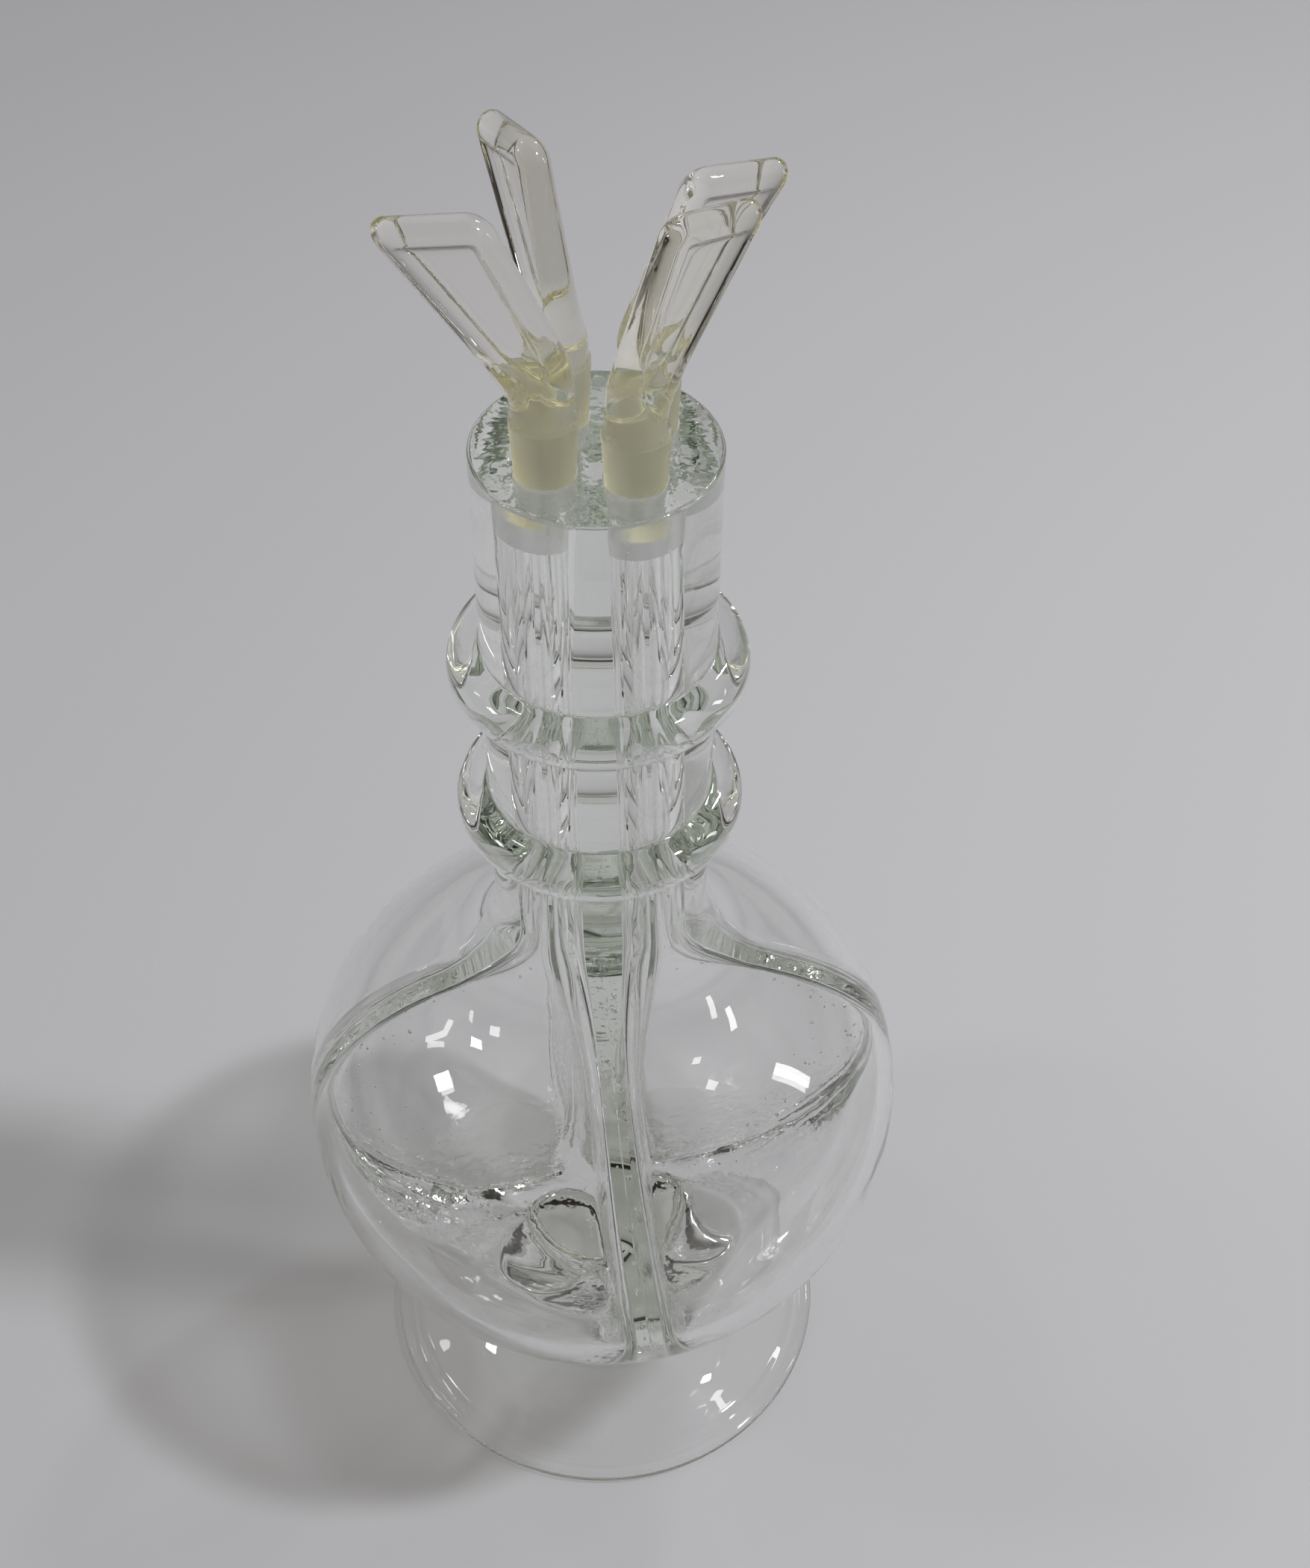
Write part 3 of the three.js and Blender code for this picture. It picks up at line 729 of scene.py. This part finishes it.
def grip_ring(z, outer_slope, inner_slope):
    """A ring of the shoulder or grip, whose edges lean out by their slopes, with its top's fall."""
    flat = smooth_step((z - GRIP_OUTER_ROOT / 2) / GRIP_FLATTENING_LENGTH)
    shoulder = PLUG_TOP_RADIUS + (SHOULDER_OF_STOPPER - PLUG_TOP_RADIUS) * smooth_step(z / SHOULDER_EASE)
    cut = top_rounding(z, GRIP_CORNER_RADIUS)
    outer = shoulder + outer_slope * soft_ramp(z - GRIP_OUTER_ROOT, GRIP_ROOT_SOFTNESS) - cut
    inner = -shoulder + inner_slope * soft_ramp(z - GRIP_INNER_ROOT, GRIP_ROOT_SOFTNESS) + cut
    half = shoulder + (GRIP_THICKNESS / 2 - shoulder) * flat - top_rounding(z, GRIP_THICKNESS / 2)
    below_top = GRIP_HEIGHT - GRIP_THICKNESS / 2 - z
    face_depth = GRIP_FACE_DEPTH * flat * smooth_step(below_top / GRIP_FACE_SLOPE)
    ring = slab_ring((outer - inner) / 2, half, face_depth)
    x = (outer + inner) / 2 + ring[:, 0]
    fall = math.tan(GRIP_TOP_FALL) * min(1, z / GRIP_HEIGHT)
    return np.column_stack([x, ring[:, 1], z - fall * (x - inner)])


def stopper_mesh(extra_lean):
    """Vertices, faces and ground marks of a stopper with its plug's top at the origin.

    Every level section is a slab with round ends: a circle up to the shoulder, and longer and flatter
    through the grip, whose outer and inner edges are soft ramps of their own lean, and whose two
    faces are pinched in between them. The top rounds off as quarter circles in length and in
    thickness, and falls outwards.
    """
    outer_slope = math.tan(GRIP_OUTER_LEAN + extra_lean)
    inner_slope = math.tan(GRIP_INNER_LEAN + extra_lean)
    end_radius = PLUG_TOP_RADIUS - PLUG_TAPER * PLUG_LENGTH
    plug = [(share * (end_radius - PLUG_END_BEVEL), -PLUG_LENGTH) for share in PLUG_END_SHARES]
    up = np.linspace(-PLUG_LENGTH + PLUG_END_BEVEL, 0, PLUG_ROWS)
    plug += [(PLUG_TOP_RADIUS + PLUG_TAPER * z, z) for z in up]
    rings = [np.column_stack([slab_ring(r, r), np.full(STOPPER_COLUMNS, z)]) for r, z in plug]
    grip_top = GRIP_HEIGHT - GRIP_CORNER_RADIUS
    rounding = np.sin(np.linspace(0, QUARTER, GRIP_TOP_ROWS))
    levels = np.concatenate(
        [
            np.linspace(0, GRIP_INNER_ROOT, GRIP_ROOT_ROWS)[1:],
            np.linspace(GRIP_INNER_ROOT, grip_top, GRIP_ROWS)[1:],
            GRIP_HEIGHT - GRIP_CORNER_RADIUS * (1 - rounding)[1:-1],
        ]
    )
    rings += [grip_ring(z, outer_slope, inner_slope) for z in levels]
    points = np.concatenate([[[0, 0, -PLUG_LENGTH]], *rings, [rings[-1].mean(axis=0)]])
    last = len(points) - 1
    faces = [
        *fan_faces(0, 1, STOPPER_COLUMNS, False),
        *grid_faces(len(rings), STOPPER_COLUMNS, 1),
        *fan_faces(last, last - STOPPER_COLUMNS, STOPPER_COLUMNS, True),
    ]
    ground = np.zeros(len(faces))
    ground[: STOPPER_COLUMNS * len(plug)] = 1
    return points, faces, ground


def linear(colour):
    """An sRGB hex colour as linear red, green, blue and one."""
    channels = [int(colour[i : i + 2], 16) / 255 for i in (1, 3, 5)]
    return [c / 12.92 if c <= 0.04045 else ((c + 0.055) / 1.055) ** 2.4 for c in channels] + [1]


def add_node(tree, kind, links=None, inputs=None, **settings):
    """A node with its settings, its sockets' values, and its links: {input: (node, output)}."""
    node = tree.nodes.new(kind)
    for name, value in settings.items():
        setattr(node, name, value)
    for name, value in (inputs or {}).items():
        node.inputs[name].default_value = value
    for name, (source, output) in (links or {}).items():
        tree.links.new(source.outputs[output], node.inputs[name])
    return node


def glass_material(name, ior, tint, tint_density, ground_roughness, ground_colour, shadow):
    """Clear glass that takes its tint from its thickness, with its ground faces rough and dull.

    A lamp's light reaches the table through it as through a grey stain, the darker the steeper the
    glass stands, because steep glass spreads it. The room's light reaches the table almost whole.
    """
    material = bpy.data.materials.new(name)
    material.use_nodes = True
    tree = material.node_tree
    tree.nodes.clear()
    marks = {
        mark: add_node(tree, "ShaderNodeAttribute", attribute_name=mark) for mark in ("ground", "uneven")
    }
    ground = marks["ground"]
    place = add_node(tree, "ShaderNodeTexCoord")
    roughness = add_node(
        tree, "ShaderNodeMath", {0: (ground, "Fac")}, {1: ground_roughness}, operation="MULTIPLY"
    )
    normal = {}
    for mark, spacing, detail, strength, height in RELIEFS:
        noise = add_node(
            tree,
            "ShaderNodeTexNoise",
            {"Vector": (place, "Object")},
            {"Scale": 1 / spacing, "Detail": detail},
        )
        rise = (noise, "Fac")
        if mark:
            sockets = {0: (marks[mark], "Fac"), 1: rise}
            rise = (add_node(tree, "ShaderNodeMath", sockets, operation="MULTIPLY"), "Value")
        bump = add_node(
            tree, "ShaderNodeBump", {"Height": rise, **normal}, {"Strength": strength, "Distance": height}
        )
        normal = {"Normal": (bump, "Normal")}
    colour = add_node(
        tree,
        "ShaderNodeMixRGB",
        {"Fac": (ground, "Fac")},
        {"Color1": (1, 1, 1, 1), "Color2": linear(ground_colour)},
    )
    surface = add_node(
        tree,
        "ShaderNodeBsdfPrincipled",
        {"Base Color": (colour, "Color"), "Roughness": (roughness, "Value"), **normal},
        {"IOR": ior, "Transmission Weight": 1.0},
    )
    path = add_node(tree, "ShaderNodeLightPath")
    facing = add_node(tree, "ShaderNodeNewGeometry")
    parts = add_node(tree, "ShaderNodeSeparateXYZ", {"Vector": (facing, "Normal")})
    level = add_node(tree, "ShaderNodeMath", {0: (parts, "Z")}, operation="ABSOLUTE")
    spread = add_node(
        tree,
        "ShaderNodeMixRGB",
        {"Fac": (level, "Value")},
        {"Color1": linear(shadow), "Color2": linear(GLASS_PASSES)},
    )
    stain = add_node(tree, "ShaderNodeBsdfTransparent", {"Color": (spread, "Color")})
    past = add_node(tree, "ShaderNodeBsdfTransparent", inputs={"Color": linear(GLASS_PASSES)})
    lit = add_node(
        tree,
        "ShaderNodeMixShader",
        {0: (path, "Is Diffuse Ray"), 1: (surface, "BSDF"), 2: (past, "BSDF")},
    )
    either = add_node(
        tree,
        "ShaderNodeMixShader",
        {0: (path, "Is Shadow Ray"), 1: (lit, "Shader"), 2: (stain, "BSDF")},
    )
    volume = add_node(
        tree, "ShaderNodeVolumeAbsorption", inputs={"Color": linear(tint), "Density": tint_density}
    )
    add_node(
        tree, "ShaderNodeOutputMaterial", {"Surface": (either, "Shader"), "Volume": (volume, "Volume")}
    )
    return material


def add_floor():
    """A plain pale floor, a hair below the resting ring so that the two don't share a plane.

    It is matt like plain cotton, with hardly any sheen.
    """
    half, z = FLOOR_HALF_SIZE, -FLOOR_DROP
    mesh = bpy.data.meshes.new("floor")
    corners = [(-half, -half, z), (half, -half, z), (half, half, z), (-half, half, z)]
    mesh.from_pydata(corners, [], [(0, 1, 2, 3)])
    floor = bpy.data.objects.new("floor", mesh)
    bpy.context.scene.collection.objects.link(floor)
    material = bpy.data.materials.new("cotton_sheet")
    material.use_nodes = True
    tree = material.node_tree
    tree.nodes.clear()
    surface = add_node(
        tree,
        "ShaderNodeBsdfPrincipled",
        inputs={"Base Color": linear(FLOOR_COLOUR), "Roughness": 0.9, "Specular IOR Level": 0.2},
    )
    add_node(tree, "ShaderNodeOutputMaterial", {"Surface": (surface, "BSDF")})
    mesh.materials.append(material)


def add_lamp(name, bearing, elevation, size, brightness, aim):
    """A rectangular lamp at a bearing round the camera's own frame, turned to the aim point.

    Brightness is the radiance of its face, where 1 is as bright as a white floor.
    """
    data = bpy.data.lights.new(name, "AREA")
    data.shape = "RECTANGLE"
    data.size, data.size_y = size
    data.energy = brightness * math.pi * size[0] * size[1]
    lamp = bpy.data.objects.new(name, data)
    level = math.cos(elevation)
    way = Vector((math.sin(bearing) * level, math.cos(bearing) * level, math.sin(elevation)))
    way.rotate(Matrix.Rotation(CAMERA_BEARING, 3, "Z"))
    lamp.location = aim + LAMP_DISTANCE * way
    lamp.rotation_mode = "QUATERNION"
    lamp.rotation_quaternion = way.to_track_quat("Z", "Y")
    bpy.context.scene.collection.objects.link(lamp)


def add_light():
    """Panels of light round the table, and a room round it.

    Going up, the room is a pale backdrop, a dark band and a pale ceiling, with the dark screen as a
    round patch on the camera's side.
    """
    middle = Vector((0, 0, GLOBE_LEVEL))
    for name, bearing, elevation, size, brightness in LAMPS:
        add_lamp(name, math.radians(bearing), math.radians(elevation), size, brightness, middle)
    world = bpy.data.worlds.new("room")
    world.use_nodes = True
    bpy.context.scene.world = world
    tree = world.node_tree
    tree.nodes.clear()
    place = add_node(tree, "ShaderNodeTexCoord")
    parts = add_node(tree, "ShaderNodeSeparateXYZ", {"Vector": (place, "Generated")})
    colour = {"Color1": linear(BACKDROP_COLOUR)}
    link = {}
    for edge, blur, above in (
        (BAND_FOOT, BAND_FOOT_BLUR, BAND_COLOUR),
        (BAND_TOP, BAND_TOP_BLUR, CEILING_COLOUR),
    ):
        height = add_node(
            tree,
            "ShaderNodeMapRange",
            {"Value": (parts, "Z")},
            {"From Min": math.sin(edge) - blur, "From Max": math.sin(edge) + blur},
            interpolation_type="SMOOTHSTEP",
        )
        walls = add_node(
            tree,
            "ShaderNodeMixRGB",
            {"Fac": (height, "Result"), **link},
            {"Color2": linear(above), **colour},
        )
        colour = {}
        link = {"Color1": (walls, "Color")}
    level = math.cos(SCREEN_ELEVATION)
    towards = (
        math.sin(CAMERA_BEARING) * level,
        -math.cos(CAMERA_BEARING) * level,
        math.sin(SCREEN_ELEVATION),
    )
    near = add_node(
        tree, "ShaderNodeVectorMath", {0: (place, "Generated")}, {1: towards}, operation="DOT_PRODUCT"
    )
    screen = add_node(
        tree,
        "ShaderNodeMapRange",
        {"Value": (near, "Value")},
        {
            "From Min": math.cos(SCREEN_HALF_WIDTH * SCREEN_BLUR),
            "From Max": math.cos(SCREEN_HALF_WIDTH),
        },
        interpolation_type="SMOOTHSTEP",
    )
    colour = add_node(
        tree, "ShaderNodeMixRGB", {"Fac": (screen, "Result"), **link}, {"Color2": linear(SCREEN_COLOUR)}
    )
    background = add_node(tree, "ShaderNodeBackground", {"Color": (colour, "Color")})
    add_node(tree, "ShaderNodeOutputWorld", {"Surface": (background, "Background")})


def add_vessel(material):
    """The fused vessel, in place of the foot, globe, neck and collars."""
    points, faces, ground, uneven = vessel_mesh()
    vessel = add_piece("vessel_glass", points, faces, material, ground, uneven)
    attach(vessel, "vessel")
    bottles = [f"bottle_{side}" for side in STOPPERS]
    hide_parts("foot", *bottles, "neck", "upper_collar", "lower_collar")


def add_stopper(side, material):
    """A stopper in its socket, turned to its bearing."""
    quarter, stand, bearing, lean = STOPPERS[side]
    points, faces, ground = stopper_mesh(lean)
    place = turned(np.array([[BORE_OFFSET, BORE_OFFSET]]), quarter * QUARTER)[0]
    points[:, :2] = turned(points[:, :2], bearing) + place
    points[:, 2] += NECK_TOP + stand
    stopper = add_piece(f"stopper_glass_{side}", points, faces, material, ground, np.zeros(len(points)))
    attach(stopper, f"{side}_stopper")
    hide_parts(f"stopper_{side}")


add_camera()
# Soda-lime glass, blown and fire-polished: clear and glossy, with a faint green where it is thick.
clear = glass_material(
    "blown_soda_lime_glass",
    ior=1.52,
    tint="#e8efe3",
    tint_density=7.0,
    ground_roughness=0.4,
    ground_colour="#dddfdc",
    shadow="#d9d8d4",
)
# Borosilicate glass, drawn and then ground: straw yellow along its edges, with a matt, milky plug.
straw = glass_material(
    "drawn_borosilicate_glass",
    ior=1.48,
    tint="#f2eaa6",
    tint_density=16.0,
    ground_roughness=0.65,
    ground_colour="#e0e1d9",
    shadow="#ece8da",
)
add_vessel(clear)
for side in STOPPERS:
    add_stopper(side, straw)
add_floor()
add_light()
bpy.context.scene.view_settings.view_transform = "Standard"
# Light crosses and bounces inside the thick glass many times before it leaves.
for kind in ("max", "glossy", "transmission"):
    setattr(bpy.context.scene.cycles, f"{kind}_bounces", GLASS_BOUNCES)
